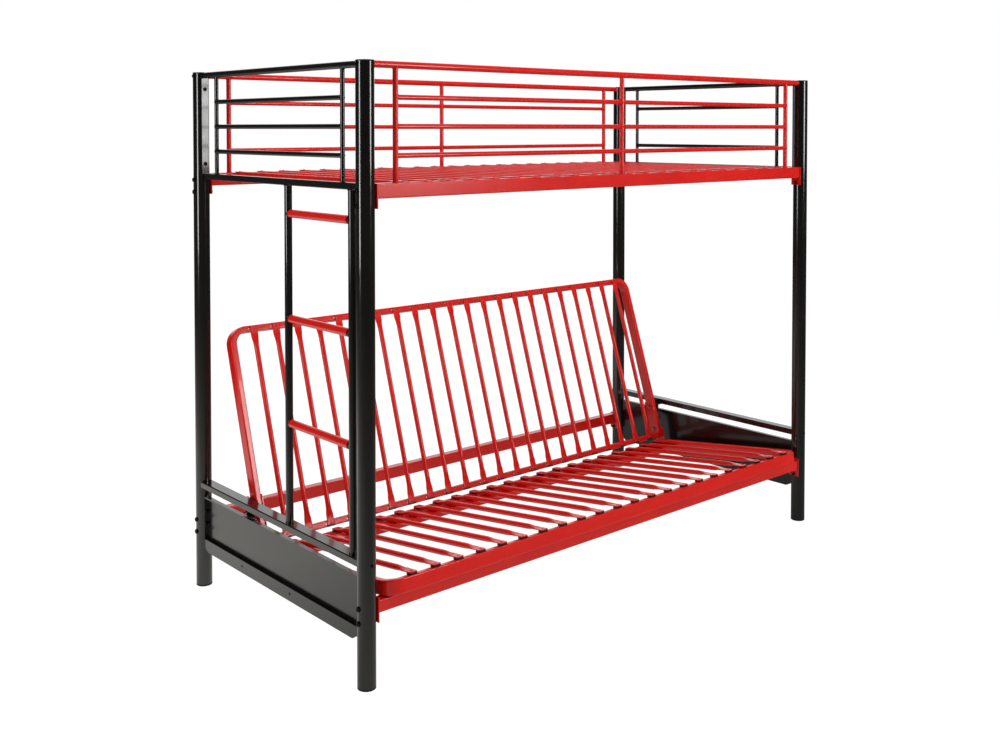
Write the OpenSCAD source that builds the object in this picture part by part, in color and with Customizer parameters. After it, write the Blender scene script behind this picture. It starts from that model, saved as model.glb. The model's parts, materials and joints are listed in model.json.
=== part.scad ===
// Loft bed over a folding slatted bench, all of painted steel tube.
// X runs along the bed, +Y to the back, +Z up, with the origin on the floor
// under the middle of the bed.

/* [Overall] */
// Distance between the post centre lines along the bed
span_x = 1950; // [1600:10:2200]
// Distance between the post centre lines across the bed
span_y = 910; // [860:5:1000]
// Height of the posts with their caps and feet
post_h = 1640; // [1560:10:1900]
// Outer diameter of the posts
post_d = 50; // [46:1:54]
// Wall of the posts
post_wall = 1.5; // [1:0.1:3]

/* [Upper deck] */
// Height of the post tops above the deck rails
guard_h = 320; // [300:5:360]
// Height of the deck rails and of the rear beam
rail_h = 40; // [36:1:44]
// Width of the deck rails and of the beams
rail_w = 32; // [26:1:36]
// Wall of the rectangular tubes
tube_wall = 1.5; // [1:0.1:2.5]
// Wall of the round bars and slats
bar_wall = 1.2; // [0.8:0.1:2]
// Number of slats on the deck, on the seat and on the back
slat_count = 22; // [12:1:24]
// Distance from the side of the seat to its outermost slats
slat_inset = 84.3; // [60:0.1:110]
// Diameter of the slats
slat_d = 16; // [12:0.5:18]

/* [Guards] */
// Diameter of the guard top rails
guard_rail_d = 19; // [16:0.5:22]
// Diameter of the guard bars
guard_bar_d = 14; // [10:0.5:16]
// Distance between the guard bars
guard_pitch = 77; // [70:1:80]
// Number of bars under each guard top rail
guard_bars = 3; // [1:1:3]

/* [Ladder] */
// Distance between the ladder stiles
ladder_w = 322; // [280:2:360]
// Diameter of the ladder stiles
stile_d = 22; // [18:0.5:26]
// Diameter of the ladder rungs
rung_d = 23; // [18:0.5:25]
// Distance of the top rung below the deck rails' tops
rung_drop = 98; // [80:1:130]

/* [Lower frame] */
// Height of the underside of the front and rear beams
beam_bottom = 194; // [180:1:210]
// Height of the front beam
front_beam_h = 33.5; // [30:0.5:40]
// Height of the top of the end rails
end_rail_top = 338; // [330:1:350]
// Height of the end panels
panel_h = 174; // [150:1:190]
// Thickness of the end panel sheet
panel_t = 1.5; // [1:0.1:2.5]

/* [Bench seat] */
// Slope of the seat down to the back
seat_tilt = 7.8; // [6:0.1:9]
// Reach of the seat's front edge ahead of the post centre line
seat_overhang = 34; // [32:1:40]
// Depth of the seat's side tubes
seat_len = 638; // [620:1:645]
// Width of the seat and back tubes seen from the front
frame_w = 20; // [18:0.5:24]
// Depth of the seat tubes
seat_d = 40; // [36:1:42]
// Distance from the post centre lines to the side of the seat
seat_side_gap = 46; // [44:1:60]

/* [Bench back] */
// Lean of the back from upright
back_lean = 17.9; // [15:0.1:20]
// Length of the back along its slope
back_len = 668; // [640:1:680]
// Distance from the hinge bolt to the lower end of the back
back_tail = 127; // [120:1:140]
// Depth of the back tubes
back_d = 38; // [34:1:40]
// Reach of the hinge bolt behind the seat's side tubes
hinge_reach = 35.3; // [30:0.1:45]
// Drop of the hinge bolt below the tops of the end rails
hinge_drop = 27.1; // [26:0.1:32]
// Distance from the hinge bolt to the link pin
link_r = 90; // [84:1:94]

/* [Hidden] */

$fn = 48;
overrun = 1;
// Gap left at a welded saddle cut and round a fixed fastener
weld_gap = 0.1;
// Gap between faces that pass each other
run_gap = 0.3;
red = "#c4312c";
black = "#1c1a19";
zinc = "#8d8a86";

hx = span_x / 2;
hy = span_y / 2;
post_r = post_d / 2;
deck_top = post_h - guard_h;
seat_half = hx - seat_side_gap;

// Caps and feet
cap_t = 4;
cap_plug_h = 3.5;
foot_t = 6;
foot_plug_h = 20;
plug_r = post_r - post_wall - weld_gap;

// Guards
guard_drop = 10;
guard_first = 85;
guard_bottom_drop = 9;
guard_top_z = post_h - guard_drop;
guard_bottom_z = deck_top - guard_bottom_drop;
bar_zs = [for (i = [0 : guard_bars - 1]) guard_top_z - guard_first - i * guard_pitch];
guard_bottom_h = guard_rail_d;
guard_bottom_w = 16;
end_post_d = 13;
end_post_inset = 104;
long_post_d = 15;
long_post_inset = 97;
end_plate_w = 22;
end_plate_t = 3;
end_plate_rise = 5;
guard_bolt_drop = 2;
guard_bolt_z = guard_top_z - guard_bolt_drop;
guard_screw_drop = 44;
guard_screw_rise = 40;
guard_screw_zs = [guard_top_z - guard_screw_drop, guard_bottom_z + guard_screw_rise];

// Rails, beams and their end plates
plate_w = 38;
plate_t = 3;
plate_h = 66;
bolt_pitch = 38.5;
deck_bolt_zs = [deck_top - rail_h / 2, deck_top - rail_h / 2 - bolt_pitch];
beam_plate_rise = 2;
beam_plate_top = beam_bottom + rail_h + beam_plate_rise;
beam_bolt_zs = [beam_bottom + rail_h / 2, beam_bottom + rail_h / 2 - bolt_pitch];
rail_round = 3;
rail_end_x = hx - post_r - plate_t;
front_beam_top = beam_bottom + front_beam_h;

// Fasteners
bolt_d = 8;
bolt_head_d = 15;
bolt_head_h = 5;
nut_d = 13;
nut_h = 7;
nut_dome_h = 3;
nut_cap_d = 10.5;
screw_d = 6;
screw_head_d = 12;
screw_head_h = 3.5;
end_rail_head_d = 9;
screw_grip = 12;
nut_plug_len = 16;

// Lower end frame
end_rail_w = 38;
end_rail_h = 20;
panel_gap = 27;
panel_top = end_rail_top - end_rail_h - panel_gap;
panel_web_x = 2.5;
panel_flange_x = 12;
panel_hem_h = 5;
panel_lip_h = 38;
panel_lip_round = 30;
panel_end_gap = 27;
panel_hole_d = 9;
panel_hole_rise = 21;
panel_hole_ys = [-90, 185];
end_rail_screw_drop = 9;
end_rail_screw_z = end_rail_top - end_rail_screw_drop;
panel_screw_rise = 30;
panel_screw_pitch = 38;
panel_screw_x = 5;
panel_screw_zs = [for (k = [0, 1]) beam_bolt_zs[0] + panel_screw_rise - k * panel_screw_pitch];

// Ladder
stile_inset = 60;
stile_front_y = stile_inset - hy;
stile_rear_y = stile_front_y + ladder_w;
rung_top_z = deck_top - rung_drop;
rung_pitch_share = 0.3382;
rung_pitch = (rung_top_z - end_rail_top) * rung_pitch_share;
rung_core_d = 19;
rung_sleeve_gap = 3.5;

// Slats: a round tube, pressed to a flat tongue at each end
tongue_w = 26;
tongue_t = 3;
tongue_len = 30;
slat_lap = 2;
deck_slat_sink = 5;
clip_t = 6;
back_clip_t = 3;
slat_rear_inset = 5.5;
frame_slat_rise = slat_d / 2 - clip_t + run_gap;
slat_pitch = 2 * (seat_half - slat_inset) / (slat_count - 1);
slat_xs = [for (i = [0 : slat_count - 1]) (i - (slat_count - 1) / 2) * slat_pitch];

// Seat frame, laid out in its own sloping plane: u from the front edge to the
// back, w up from the top of the tubes
seat_bend = 50;
tube_round = 4;
seat_under_y = -hy + rail_w / 2;
seat_drop = tan(seat_tilt) * (rail_w / 2 + seat_overhang);
seat_front_z = front_beam_top + run_gap + seat_d / cos(seat_tilt) + seat_drop;
seat_front_y = -hy - seat_overhang;
rear_rail_w = 116;
rear_rail_t = 20;

// Whole depth: the seat's lower front edge to the screw heads on the rear posts
seat_tip_y = seat_front_y + tube_round * cos(seat_tilt)
    - (seat_d - tube_round) * sin(seat_tilt) - tube_round;
mid_y = (seat_tip_y + hy + post_r + screw_head_h) / 2;

// Back frame, laid out in its own leaning plane: z down the slope from the
// top edge, y from the front face to the rear
back_half = seat_half - run_gap;
back_bend = 55;
hinge_n = back_d / 2;
hinge_s = back_len - back_tail;
hinge_by = seat_len + hinge_reach - hy;
hinge_z = end_rail_top - hinge_drop;
hinge_hole_d = 10.6;
hinge_bolt_d = 10;
link_s = hinge_s + link_r;
bracket_t = 3;
pin_end = 1.5;
bracket_round = 21;
bracket_top_s = hinge_s - bracket_round;
screw_dot_d = 5;
screw_dot_h = 1.5;
lace_hole_d = 5;
lace_hole_rise = 144;
lace_hole_pitch = 42;
lace_hole_ss = [for (k = [0 : 2]) hinge_s - lace_hole_rise - k * lace_hole_pitch];
lace_hole_n = 27;
oval_hole_s = 66;
oval_hole_len = 14;

// Hinge plate, hung from the end rail, and link plate
arm_t = 4;
arm_x = seat_half;
arm_round = 27;
arm_drop = 44;
arm_len = 34;
arm_top_drop = 14.5;
arm_high = end_rail_top - arm_top_drop;
link_t = 3;
link_round = 15;
link_slot_r = 7.4;
link_slot_len = 17;
link_slot_dir = 37;
link_y = hinge_by - link_r * sin(back_lean);
link_z = hinge_z - link_r * cos(back_lean);

// Tension springs between the arm and the back
stud_d = 6;
stud_len = 14;
stud_r = 50;
stud_swing = 25;
arm_stud_y = 24;
arm_stud_z = 33;
spring_d = 13;
spring_wire = 2.2;
spring_turns = 9;
spring_lead = 4;
spring_side_gap = 1.5;
spring_x = seat_half + arm_t + spring_side_gap + spring_d / 2;

// Solids drawn about the middle of the post rectangle go to the part's origin
module place() {
    translate([0, -mid_y, 0]) children();
}

// Both ends of the bed, the left one first
module both_ends() {
    for (s = [-1, 1]) scale_x(s) children();
}

// Mirror to the left for -1 and leave as drawn for 1
module scale_x(s) {
    if (s < 0) mirror([1, 0, 0]) children();
    else children();
}

// Mirror to the front for -1 and leave as drawn for 1
module scale_y(s) {
    if (s < 0) mirror([0, 1, 0]) children();
    else children();
}

// Rectangle with true round corners
module round_rect(w, h, r) {
    square([w - 2 * r, h], center = true);
    square([w, h - 2 * r], center = true);
    for (i = [-1, 1], j = [-1, 1])
        translate([i * (w / 2 - r), j * (h / 2 - r)]) circle(r = r);
}

// Section of a rectangular tube
module tube_section(w, h, r) {
    difference() {
        round_rect(w, h, r);
        round_rect(w - 2 * tube_wall, h - 2 * tube_wall, r - tube_wall);
    }
}

// Rod between two values on the X, Y or Z axis
module rod_x(x0, x1, d) {
    translate([x0, 0, 0]) rotate([0, 90, 0]) cylinder(h = x1 - x0, d = d);
}
module rod_y(y0, y1, d) {
    translate([0, y0, 0]) rotate([-90, 0, 0]) cylinder(h = y1 - y0, d = d);
}
module rod_z(z0, z1, d) {
    translate([0, 0, z0]) cylinder(h = z1 - z0, d = d);
}

// Hollow rod along X
module pipe_x(x0, x1, d) {
    difference() {
        rod_x(x0, x1, d);
        rod_x(x0 - overrun, x1 + overrun, d - 2 * tube_wall);
    }
}

// Tube along Y from -half to half, solid for a diameter at each end
module closed_tube_y(half, d) {
    difference() {
        rod_y(-half, half, d);
        rod_y(d - half, half - d, d - 2 * bar_wall);
    }
}

// Space of all four posts, for saddle cuts
module post_space() {
    for (i = [-1, 1], j = [-1, 1])
        translate([i * hx, j * hy, 0]) rod_z(0, post_h, post_d + 2 * weld_gap);
}

// Fastener along X: a domed head on the face x = 0 and its shank back to -grip
module fastener(head_d, head_h, d, grip) {
    rotate([0, 90, 0]) rotate_extrude() {
        dome(head_d, head_h);
        translate([0, -grip]) square([d / 2, grip]);
    }
}

// Half section of a low dome that stands on y = 0
module dome(d, h) {
    r = (d * d / 4 + h * h) / (2 * h);
    intersection() {
        translate([0, h - r]) circle(r = r);
        square([d / 2, h]);
    }
}

// Post at the corner (i, j), with its through holes
module post(i, j) {
    color(black) place() translate([i * hx, j * hy, 0]) difference() {
        rod_z(foot_t, post_h - cap_t, post_d);
        rod_z(foot_t - overrun, post_h - cap_t + overrun, post_d - 2 * post_wall);
        for (z = concat(deck_bolt_zs, beam_bolt_zs))
            translate([0, 0, z]) rod_x(-post_d, post_d, bolt_d + 2 * weld_gap);
        translate([0, 0, guard_bolt_z]) rod_x(-post_d, post_d, screw_d + 2 * weld_gap);
        scale_y(j) for (z = guard_screw_zs)
            translate([0, 0, z]) rod_y(-post_d, 0, screw_d + 2 * weld_gap);
        translate([0, 0, end_rail_screw_z])
            rod_y(-post_d, post_d, screw_d + 2 * weld_gap);
        scale_y(j) for (z = panel_screw_zs)
            translate([i * panel_screw_x, 0, z]) rod_y(-post_d, 0, screw_d + 2 * weld_gap);
    }
}
module front_left_post() { post(-1, -1); }
module front_right_post() { post(1, -1); }
module rear_left_post() { post(-1, 1); }
module rear_right_post() { post(1, 1); }

// Moulded caps pressed into the tops of the posts
module post_caps() {
    color(black) place() for (i = [-1, 1], j = [-1, 1]) translate([i * hx, j * hy, 0]) {
        rod_z(post_h - cap_t, post_h, post_d);
        rod_z(post_h - cap_t - cap_plug_h, post_h - cap_t, 2 * plug_r);
    }
}

// Moulded feet pressed into the bottoms of the posts
module post_feet() {
    color(black) place() for (i = [-1, 1], j = [-1, 1]) translate([i * hx, j * hy, 0]) {
        rod_z(0, foot_t, post_d);
        rod_z(foot_t, foot_t + foot_plug_h, 2 * plug_r);
    }
}

// Welded end guard: top rail, bars, bottom rail, two uprights and end plates
module end_guard(i) {
    plate_y = hy - post_r;
    inner_y = plate_y - end_plate_t;
    upright_y = hy - end_post_inset;
    color(black) place() translate([i * hx, 0, 0]) {
        translate([0, 0, guard_top_z]) closed_tube_y(inner_y, guard_rail_d);
        for (z = bar_zs) translate([0, 0, z]) closed_tube_y(upright_y, guard_bar_d);
        translate([0, 0, guard_bottom_z]) rotate([90, 0, 0])
            linear_extrude(2 * inner_y, center = true)
                tube_section(guard_bottom_w, guard_bottom_h, rail_round);
        for (s = [-1, 1]) {
            translate([0, s * upright_y, 0]) rod_z(guard_bottom_z, guard_top_z, end_post_d);
            scale_y(s) difference() {
                translate([-end_plate_w / 2, inner_y, guard_bottom_z - guard_bottom_h / 2])
                    cube([end_plate_w, end_plate_t,
                        guard_top_z - guard_bottom_z + guard_bottom_h / 2 + end_plate_rise]);
                for (z = guard_screw_zs) translate([0, 0, z])
                    rod_y(inner_y - overrun, plate_y + overrun, screw_d + 2 * weld_gap);
            }
        }
    }
}
module left_guard() { end_guard(-1); }
module right_guard() { end_guard(1); }

// Welded long guard: top rail, bars and three uprights
module long_guard(j) {
    upright_x = hx - long_post_inset;
    plug_x = hx - post_r;
    color(red) place() translate([0, j * hy, 0]) difference() {
        union() {
            translate([0, 0, guard_top_z]) pipe_x(-hx, hx, guard_rail_d);
            for (s = [-1, 1]) translate([s * plug_x, 0, guard_top_z])
                rod_x(-nut_plug_len, nut_plug_len, guard_rail_d - tube_wall);
            for (z = bar_zs) translate([0, 0, z]) rotate([0, 0, 90])
                closed_tube_y(upright_x, guard_bar_d);
            for (s = [-1, 0, 1]) translate([s * upright_x, 0, 0])
                rod_z(deck_top, guard_top_z - guard_rail_d / 2 + tube_wall, long_post_d);
        }
        translate([0, -j * hy, 0]) post_space();
        both_ends() translate([0, 0, guard_bolt_z])
            rod_x(plug_x - nut_plug_len - overrun, hx, screw_d + 2 * weld_gap);
    }
}
module front_guard() { long_guard(-1); }
module rear_guard() { long_guard(1); }

// Bolts through the posts into the long guards' top rails
module guard_bolts() {
    color(black) place() both_ends() for (j = [-1, 1])
        translate([hx + post_r, j * hy, guard_bolt_z])
            fastener(screw_head_d, screw_head_h, screw_d, post_d + screw_grip);
}

// Screws through the end guards' plates into the posts
module guard_screws() {
    inner_y = hy - post_r - end_plate_t;
    color(black) place() both_ends() for (s = [-1, 1], z = guard_screw_zs)
        scale_y(s) translate([hx, inner_y, z]) rotate([0, 0, -90])
            fastener(screw_head_d, screw_head_h, screw_d, screw_grip);
}

// Rail between two posts, from its underside upwards, and the plates on its ends
module rail(j, bottom, h, plate_top, bolt_zs) {
    color(red) place() translate([0, j * hy, 0]) {
        translate([0, 0, bottom + h / 2]) rotate([0, 90, 0])
            linear_extrude(2 * (rail_end_x - weld_gap), center = true)
                tube_section(h, rail_w, rail_round);
        both_ends() difference() {
            translate([rail_end_x, -plate_w / 2, plate_top - plate_h])
                cube([plate_t, plate_w, plate_h]);
            for (z = bolt_zs) translate([0, 0, z])
                rod_x(rail_end_x - overrun, hx, bolt_d + 2 * weld_gap);
        }
    }
}
module front_deck_rail() { rail(-1, deck_top - rail_h, rail_h, deck_top, deck_bolt_zs); }
module rear_deck_rail() { rail(1, deck_top - rail_h, rail_h, deck_top, deck_bolt_zs); }
module front_beam() { rail(-1, beam_bottom, front_beam_h, beam_plate_top, beam_bolt_zs); }
module rear_beam() { rail(1, beam_bottom, rail_h, beam_plate_top, beam_bolt_zs); }

// Bolts through the posts and plates, with their heads on the outer side
module post_bolts(zs) {
    color(black) place() both_ends() for (j = [-1, 1], z = zs)
        translate([hx + post_r, j * hy, z])
            fastener(bolt_head_d, bolt_head_h, bolt_d, post_d + plate_t + nut_h - run_gap);
}

// Cap nuts on the inner side of the plates
module post_nuts(zs) {
    color(black) place() both_ends() for (j = [-1, 1], z = zs)
        translate([rail_end_x, j * hy, z]) rotate([0, -90, 0]) difference() {
            union() {
                cylinder(h = nut_h, d = nut_d, $fn = 6);
                translate([0, 0, nut_h - tube_wall]) rotate_extrude()
                    translate([0, tube_wall]) nut_cap();
            }
            translate([0, 0, -overrun]) cylinder(h = nut_h + overrun, d = bolt_d + 2 * weld_gap);
        }
}

// Half section of a nut's domed cap, sunk a little into the nut
module nut_cap() {
    dome(nut_cap_d, nut_dome_h);
    translate([0, -tube_wall]) square([nut_cap_d / 2, tube_wall]);
}
module deck_bolts() { post_bolts(deck_bolt_zs); }
module deck_nuts() { post_nuts(deck_bolt_zs); }
module beam_bolts() { post_bolts(beam_bolt_zs); }
module beam_nuts() { post_nuts(beam_bolt_zs); }

// Slat along +Y from 0 to len, with the undersides of its tongues on z = 0
module slat(len, rise) {
    from = tongue_len - slat_lap;
    translate([0, 0, rise]) difference() {
        rod_y(from, len - from, slat_d);
        rod_y(from + slat_d, len - from - slat_d, slat_d - 2 * bar_wall);
    }
    for (y = [0, len - tongue_len]) translate([-tongue_w / 2, y, 0])
        cube([tongue_w, tongue_len, tongue_t]);
}

// Slats across the deck, their tongues on the inner halves of the rails
module deck_slats() {
    color(red) place() for (x = slat_xs) translate([x, -hy, deck_top]) slat(span_y, -deck_slat_sink);
}

// Rectangular end rail between the posts
module end_rail(i) {
    plug_y = hy - post_r - nut_plug_len;
    color(black) place() difference() {
        translate([i * hx, 0, end_rail_top - end_rail_h / 2]) rotate([90, 0, 0]) {
            linear_extrude(span_y, center = true) tube_section(end_rail_w, end_rail_h, rail_round);
            for (s = [-1, 1]) translate([0, 0, s * (plug_y + nut_plug_len)])
                linear_extrude(2 * nut_plug_len, center = true)
                    round_rect(end_rail_w - tube_wall, end_rail_h - tube_wall, rail_round - tube_wall / 2);
        }
        post_space();
        for (s = [-1, 1]) scale_y(s) translate([i * hx, 0, end_rail_screw_z])
            rod_y(plug_y, hy, screw_d + 2 * weld_gap);
    }
}
module left_end_rail() { end_rail(-1); }
module right_end_rail() { end_rail(1); }

// Pressed end panel: web, top flange and hem, shelf and lip, end flanges
module end_panel(i) {
    half = hy - panel_end_gap;
    low = panel_top - panel_h;
    shelf = low + panel_lip_h;
    reach = panel_web_x + panel_flange_x;
    color(black) place() scale_x(i) translate([hx - panel_web_x, 0, 0]) difference() {
        union() {
            sheet(half, low, panel_top);
            translate([reach - panel_t, 0, 0]) sheet(half, low, shelf);
            translate([0, -half, panel_top - panel_t]) cube([reach, 2 * half, panel_t]);
            translate([reach - panel_t, -half, panel_top - panel_hem_h])
                cube([panel_t, 2 * half, panel_hem_h]);
            translate([0, -half, shelf - panel_t]) cube([reach, 2 * half, panel_t]);
            for (s = [-1, 1]) scale_y(s) translate([0, half - panel_t, shelf - panel_t])
                cube([reach, panel_t, panel_top - shelf]);
        }
        for (y = panel_hole_ys) translate([0, y, low + panel_hole_rise])
            rod_x(-overrun, 2 * reach, panel_hole_d);
        for (z = panel_screw_zs) translate([panel_web_x + panel_screw_x, 0, z])
            rod_y(-hy, hy, screw_d + 2 * weld_gap);
    }
}

// Upright sheet of the panel, round at its lower corners
module sheet(half, low, high) {
    rotate([90, 0, 90]) linear_extrude(panel_t) {
        translate([-half, low + panel_lip_round]) square([2 * half, high - low - panel_lip_round]);
        translate([panel_lip_round - half, low]) square([2 * (half - panel_lip_round), panel_lip_round]);
        for (s = [-1, 1]) intersection() {
            translate([s * (half - panel_lip_round), low + panel_lip_round]) circle(r = panel_lip_round);
            translate([-half, low]) square([2 * half, panel_lip_round]);
        }
    }
}
module left_end_panel() { end_panel(-1); }
module right_end_panel() { end_panel(1); }

// Screws through the posts into the end rails
module end_rail_screws() {
    color(black) place() both_ends() for (s = [-1, 1]) scale_y(s)
        translate([hx, hy + post_r, end_rail_screw_z]) rotate([0, 0, 90])
            fastener(end_rail_head_d, screw_head_h, screw_d, post_d + screw_grip);
}

// Screws through the end panels' flanges into the posts
module panel_screws() {
    head_y = hy - panel_end_gap - panel_t;
    color(black) place() both_ends() for (s = [-1, 1], z = panel_screw_zs)
        scale_y(s) translate([hx + panel_screw_x, head_y, z]) rotate([0, 0, -90])
            fastener(screw_head_d, screw_head_h, screw_d, screw_grip);
}

// Ladder stile from the left guard's bottom rail down to the end rail
module stile(y) {
    top = guard_bottom_z - guard_bottom_h / 2;
    color(black) place() translate([-hx, y, 0]) difference() {
        rod_z(end_rail_top, top, stile_d);
        rod_z(end_rail_top + stile_d, top - stile_d, stile_d - 2 * tube_wall);
    }
}
module ladder_front_stile() { stile(stile_front_y); }
module ladder_rear_stile() { stile(stile_rear_y); }

// Rung between the stiles: a black bar, and a red sleeve that leaves its ends bare
module rung_core(k) {
    color(black) place() difference() {
        translate([-hx, 0, rung_top_z - k * rung_pitch])
            rod_y(stile_front_y, stile_rear_y, rung_core_d);
        for (y = [stile_front_y, stile_rear_y]) translate([-hx, y, 0])
            rod_z(0, post_h, stile_d + 2 * weld_gap);
    }
}
module top_rung() { rung_core(0); }
module middle_rung() { rung_core(1); }
module bottom_rung() { rung_core(2); }
module rung_sleeves() {
    inset = stile_d / 2 + rung_sleeve_gap;
    color(red) place() for (k = [0 : 2])
        translate([-hx, 0, rung_top_z - k * rung_pitch]) difference() {
            rod_y(stile_front_y + inset, stile_rear_y - inset, rung_d);
            rod_y(stile_front_y, stile_rear_y, rung_core_d + 2 * weld_gap);
        }
}

// The seat's sloping plane, with y = u and z = w
module on_seat() {
    place() translate([0, seat_front_y, seat_front_z]) rotate([-seat_tilt, 0, 0]) children();
}

// Quarter bend of a rectangular tube of depth d, outer radius r, from +X to -Y
module corner_bend(r, d) {
    rotate_extrude(angle = 90, $fn = 96) translate([r - frame_w / 2, 0])
        tube_section(frame_w, d, tube_round);
}

// Front tube of the seat with its two bent corners
module seat_front_tube() {
    straight = seat_half - seat_bend;
    color(red) on_seat() translate([0, 0, -seat_d / 2]) {
        translate([0, frame_w / 2, 0]) rotate([90, 0, 90])
            linear_extrude(2 * straight, center = true) tube_section(frame_w, seat_d, tube_round);
        both_ends() translate([straight, seat_bend, 0]) rotate([0, 0, -90])
            corner_bend(seat_bend, seat_d);
    }
}
module seat_side_tube(i) {
    color(red) on_seat() translate([i * (seat_half - frame_w / 2), seat_bend, -seat_d / 2])
        rotate([-90, 0, 0]) linear_extrude(seat_len - seat_bend)
            tube_section(frame_w, seat_d, tube_round);
}
module seat_left_tube() { seat_side_tube(-1); }
module seat_right_tube() { seat_side_tube(1); }

// Flat rear rail of the seat between the side tubes
module seat_rear_rail() {
    color(red) on_seat() translate([0, seat_len - rear_rail_w / 2, -rear_rail_t / 2])
        rotate([90, 0, 90]) linear_extrude(2 * (seat_half - frame_w), center = true)
            tube_section(rear_rail_w, rear_rail_t, rail_round);
}

// Seat slats on black clips at the front, straight on the rear rail
module seat_slats() {
    color(red) on_seat() for (x = slat_xs)
        translate([x, tube_wall, clip_t])
            slat(seat_len - tube_wall - slat_rear_inset, frame_slat_rise);
}
module seat_slat_clips() {
    clip_len = frame_w - 2 * tube_wall;
    color(black) on_seat() for (x = slat_xs, y = [tube_wall, seat_len - slat_rear_inset - clip_len])
        translate([x - tongue_w / 2, y, 0]) cube([tongue_w, clip_len, clip_t]);
}

// Slotted plate on the seat's side tube, which the back's pin carries
module seat_link(i) {
    color(red) place() scale_x(i) translate([seat_half, 0, 0]) difference() {
        union() {
            translate([0, link_y, link_z]) rod_x(0, link_t, 2 * link_round);
            translate([0, link_y, link_z]) rotate([link_slot_dir, 0, 0])
                translate([0, -link_slot_len, 0]) rod_x(0, link_t, 2 * link_round);
            translate([0, seat_front_y, seat_front_z]) rotate([-seat_tilt, 0, 0])
                rotate([90, 0, 90]) linear_extrude(link_t) polygon(link_outline);
        }
        translate([0, link_y, link_z]) rotate([link_slot_dir, 0, 0]) {
            rod_x(-overrun, link_t + overrun, 2 * link_slot_r);
            translate([0, -link_slot_len, 0]) rod_x(-overrun, link_t + overrun, 2 * link_slot_r);
            translate([-overrun, -link_slot_len, -link_slot_r])
                cube([link_t + 2 * overrun, link_slot_len, 2 * link_slot_r]);
        }
    }
}
// The link pin in the seat's plane, and the plate's outline round it
link_u = (link_y - seat_front_y) * cos(seat_tilt) - (link_z - seat_front_z) * sin(seat_tilt);
link_w = (link_y - seat_front_y) * sin(seat_tilt) + (link_z - seat_front_z) * cos(seat_tilt);
link_low = -seat_d + 2 * tube_round;
link_high = -2 * tube_round;
link_outline = [
    [seat_len - 5 * link_round, link_low],
    [link_u - tube_round, link_low],
    [link_u + link_round, link_low + 2 * tube_round],
    [link_u + link_round, link_w],
    [link_u - 2 * link_round + tube_wall, link_w - link_round],
    [link_u - 2 * link_round + tube_wall, link_high],
    [seat_len - 5 * link_round, link_high]
];
module seat_left_link() { seat_link(-1); }
module seat_right_link() { seat_link(1); }

// The back's leaning plane: x along the bed, y to its rear, z up its slope
module on_back() {
    place() translate([0, hinge_by, hinge_z]) rotate([-back_lean, 0, 0])
        translate([0, -hinge_n, hinge_s]) children();
}

// Top tube of the back with its two bent corners
module back_top_tube() {
    straight = back_half - back_bend;
    color(red) on_back() translate([0, back_d / 2, 0]) {
        translate([0, 0, -frame_w / 2]) rotate([90, 0, 90])
            linear_extrude(2 * straight, center = true) tube_section(back_d, frame_w, tube_round);
        both_ends() translate([straight, 0, -back_bend]) rotate([90, 0, 0])
            corner_bend(back_bend, back_d);
    }
}

// Side tube of the back, bored for the hinge bolt and the link pin
module back_side_tube(i) {
    color(red) on_back() scale_x(i) difference() {
        translate([back_half - frame_w / 2, back_d / 2, -back_len])
            linear_extrude(back_len - back_bend) tube_section(frame_w, back_d, tube_round);
        translate([back_half - frame_w, hinge_n, -hinge_s])
            rod_x(-overrun, frame_w + overrun, hinge_hole_d);
        translate([back_half - frame_w, hinge_n, -link_s])
            rod_x(-overrun, frame_w + overrun, hinge_bolt_d + 2 * weld_gap);
        for (s = lace_hole_ss) translate([back_half - frame_w, lace_hole_n, -s])
            rod_x(-overrun, frame_w / 2, lace_hole_d);
        for (k = [0, 1]) translate([back_half - frame_w, lace_hole_n, k * oval_hole_len / 2 - oval_hole_s])
            rod_x(-overrun, frame_w / 2, lace_hole_d);
    }
}
module back_left_tube() { back_side_tube(-1); }
module back_right_tube() { back_side_tube(1); }

// Bottom tube of the back between the brackets
module back_bottom_tube() {
    color(red) on_back() translate([0, back_d / 2, frame_w / 2 - back_len])
        rotate([90, 0, 90]) linear_extrude(2 * (back_half - frame_w - bracket_t), center = true)
            tube_section(back_d, frame_w, tube_round);
}

// Bracket plate on the inner face of a side tube, round at its lower end
module back_bracket(i) {
    color(red) on_back() scale_x(i) translate([back_half - frame_w - bracket_t, 0, 0])
        difference() {
            rotate([90, 0, 90]) linear_extrude(bracket_t) {
                translate([back_d / 2 - bracket_round, bracket_round - back_len])
                    square([2 * bracket_round, back_len - bracket_round - bracket_top_s]);
                translate([back_d / 2, bracket_round - back_len]) circle(r = bracket_round);
            }
            translate([0, hinge_n, -hinge_s])
                rod_x(-overrun, bracket_t + overrun, hinge_hole_d);
            translate([0, hinge_n, -link_s])
                rod_x(-overrun, bracket_t + overrun, hinge_bolt_d + 2 * weld_gap);
        }
}
module back_left_bracket() { back_bracket(-1); }
module back_right_bracket() { back_bracket(1); }

// Slats of the back, on its front face
module back_slats() {
    color(red) on_back() for (x = slat_xs)
        translate([x, 0, tube_wall - back_len]) rotate([90, 0, 0])
            slat(back_len - 2 * tube_wall, frame_slat_rise);
}

// Black clips over the lower tongues of the back slats
module back_slat_clips() {
    color(black) on_back() for (x = slat_xs)
        translate([x - tongue_w / 2, -tongue_t - back_clip_t, tube_wall - back_len])
            cube([tongue_w, back_clip_t, tongue_len / 3]);
}

// Round heads beside both ends of each slat
module back_slat_screws() {
    color(zinc) on_back() for (x = slat_xs, z = [-frame_w / 2, frame_w / 2 - back_len])
        translate([x - tongue_w / 2 - screw_dot_d, 0, z])
            rotate([90, 0, 0]) cylinder(h = screw_dot_h, d = screw_dot_d);
}

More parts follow.
